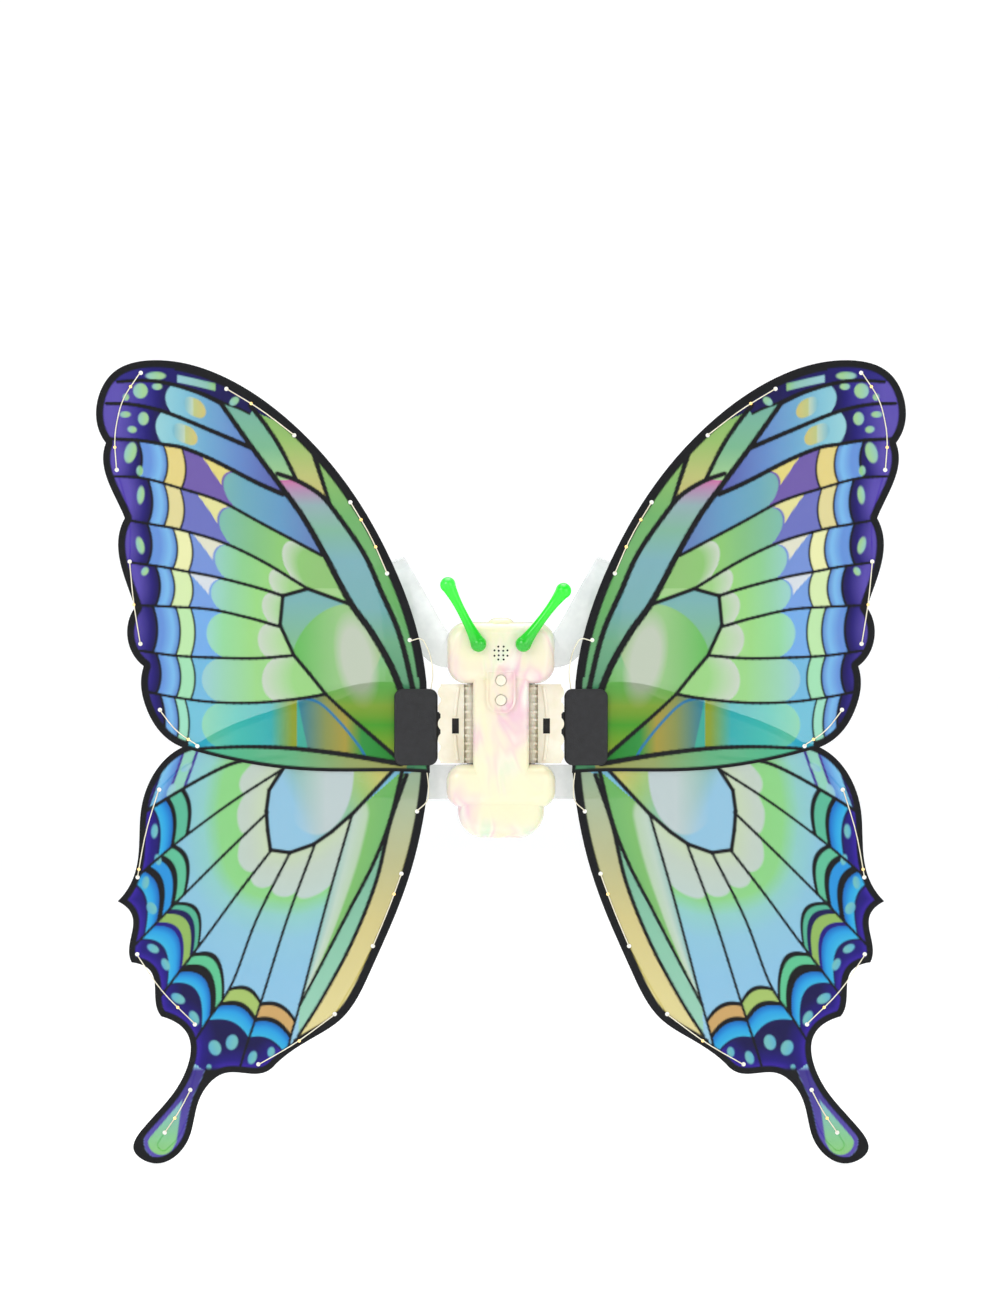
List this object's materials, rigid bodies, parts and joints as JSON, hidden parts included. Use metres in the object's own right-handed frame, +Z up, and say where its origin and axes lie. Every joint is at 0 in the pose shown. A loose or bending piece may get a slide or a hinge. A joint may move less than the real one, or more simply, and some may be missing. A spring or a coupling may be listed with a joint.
{
  "type": "electric flapping fairy wings",
  "caption": "Wearable butterfly wings: a strap-on battery pack with two hinged wing sockets, printed film fore and hind wings, woven light wire, and two glowing antennas.",
  "frame": {"origin": "on the pack's flat back face, on the centre plane, midway up the wing hinges", "axes": "+Z up as worn, +Y from the pack towards the wearer's back, +X to the wearer's right-hand side as seen from behind"},
  "size_m": [0.583, 0.1723, 0.5784],
  "materials": {
    "pearl_shell": "glossy",
    "socket_plastic": "satin",
    "black_plastic": "matte",
    "printed_film": "satin",
    "clear_green": "glossy",
    "clear_strap": "glossy",
    "steel": "brushed",
    "brass": "polished",
    "white_plastic": "satin",
    "circuit": "satin",
    "cell_wrap": "glossy",
    "wire_jacket": "glossy",
    "lamp_resin": "glossy"
  },
  "bodies": {
    "pack": {"head_shell": "pearl_shell", "tail_shell": "pearl_shell", "rear_cover": "pearl_shell", "case_screws": "steel", "circuit_board": "circuit", "tact_switches": "black_plastic", "speaker": "black_plastic", "antenna_leds": "white_plastic", "battery_tray": "white_plastic", "batteries": "cell_wrap", "battery_contacts": "steel", "motor": "steel", "gear_axle": "steel", "gear_plate": "steel", "strap_bars": "steel", "strap_left": "clear_strap", "strap_right": "clear_strap"},
    "idler": {"compound_gear": "white_plastic"},
    "motor_rotor": {"motor_pinion": "brass"},
    "upper_button_cap": {"upper_button": "socket_plastic"},
    "lower_button_cap": {"lower_button": "socket_plastic"},
    "left_antenna": {"antenna_left": "clear_green"},
    "right_antenna": {"antenna_right": "clear_green"},
    "door": {"battery_door": "pearl_shell", "door_screw": "steel"},
    "socket_left": {"socket_front_left": "socket_plastic", "socket_rear_left": "socket_plastic", "socket_screws_left": "steel", "hinge_shaft_left": "steel", "sector_gear_left": "white_plastic"},
    "wing_left": {"root_plate_front_left": "black_plastic", "root_plate_back_left": "black_plastic", "root_spacer_left": "black_plastic", "root_rivets_left": "steel", "forewing_left": "printed_film", "hindwing_left": "printed_film", "light_wire_left": "wire_jacket", "wire_eyelets_left": "white_plastic", "wire_lights_left": "lamp_resin"},
    "socket_right": {"socket_front_right": "socket_plastic", "socket_rear_right": "socket_plastic", "socket_screws_right": "steel", "hinge_shaft_right": "steel", "sector_gear_right": "white_plastic"},
    "wing_right": {"root_plate_front_right": "black_plastic", "root_plate_back_right": "black_plastic", "root_spacer_right": "black_plastic", "root_rivets_right": "steel", "forewing_right": "printed_film", "hindwing_right": "printed_film", "light_wire_right": "wire_jacket", "wire_eyelets_right": "white_plastic", "wire_lights_right": "lamp_resin"}
  },
  "joints": [
    {"name": "flap_right", "type": "hinge", "parent": "pack", "child": "socket_right", "pos_m": [0.022, -0.02, 0], "axis": [0, 0, 1], "range_deg": [-38, 7]},
    {"name": "flap_left", "type": "hinge", "parent": "pack", "child": "socket_left", "pos_m": [-0.022, -0.02, 0], "axis": [0, 0, 1], "range_deg": [-7, 38]},
    {"name": "idler_spin", "type": "hinge", "parent": "pack", "child": "idler", "pos_m": [0.00119, -0.03558, 0.064], "axis": [0, 0, 1], "range_deg": [-40, 215]},
    {"name": "motor_spin", "type": "hinge", "parent": "pack", "child": "motor_rotor", "pos_m": [0.00569, -0.02779, 0.062], "axis": [0, 0, 1], "range_deg": [-740, 140]},
    {"name": "unplug_right", "type": "slide", "parent": "socket_right", "child": "wing_right", "axis": [1, 0, 0], "range_m": [0, 0.02]},
    {"name": "unplug_left", "type": "slide", "parent": "socket_left", "child": "wing_left", "axis": [-1, 0, 0], "range_m": [0, 0.02]},
    {"name": "press_upper", "type": "slide", "parent": "pack", "child": "upper_button_cap", "axis": [0, 1, 0], "range_m": [0, 0.0008], "stiffness_N_per_m": 800, "springref_m": -0.0005},
    {"name": "press_lower", "type": "slide", "parent": "pack", "child": "lower_button_cap", "axis": [0, 1, 0], "range_m": [0, 0.0008], "stiffness_N_per_m": 800, "springref_m": -0.0005},
    {"name": "antenna_swivel_left", "type": "hinge", "parent": "pack", "child": "left_antenna", "pos_m": [-0.016, -0.048, 0.0583], "axis": [0, 1, 0], "range_deg": [-15, 25]},
    {"name": "antenna_swivel_right", "type": "hinge", "parent": "pack", "child": "right_antenna", "pos_m": [0.016, -0.048, 0.0583], "axis": [0, 1, 0], "range_deg": [-25, 8]},
    {"name": "door_lift", "type": "slide", "parent": "pack", "child": "door", "axis": [0, 1, 0], "range_m": [0, 0.012]}
  ],
  "couplings": [
    {"joint": "flap_left", "follows": "flap_right", "ratio": -1},
    {"joint": "idler_spin", "follows": "flap_right", "ratio": -5.5},
    {"joint": "motor_spin", "follows": "flap_right", "ratio": 19.25}
  ]
}
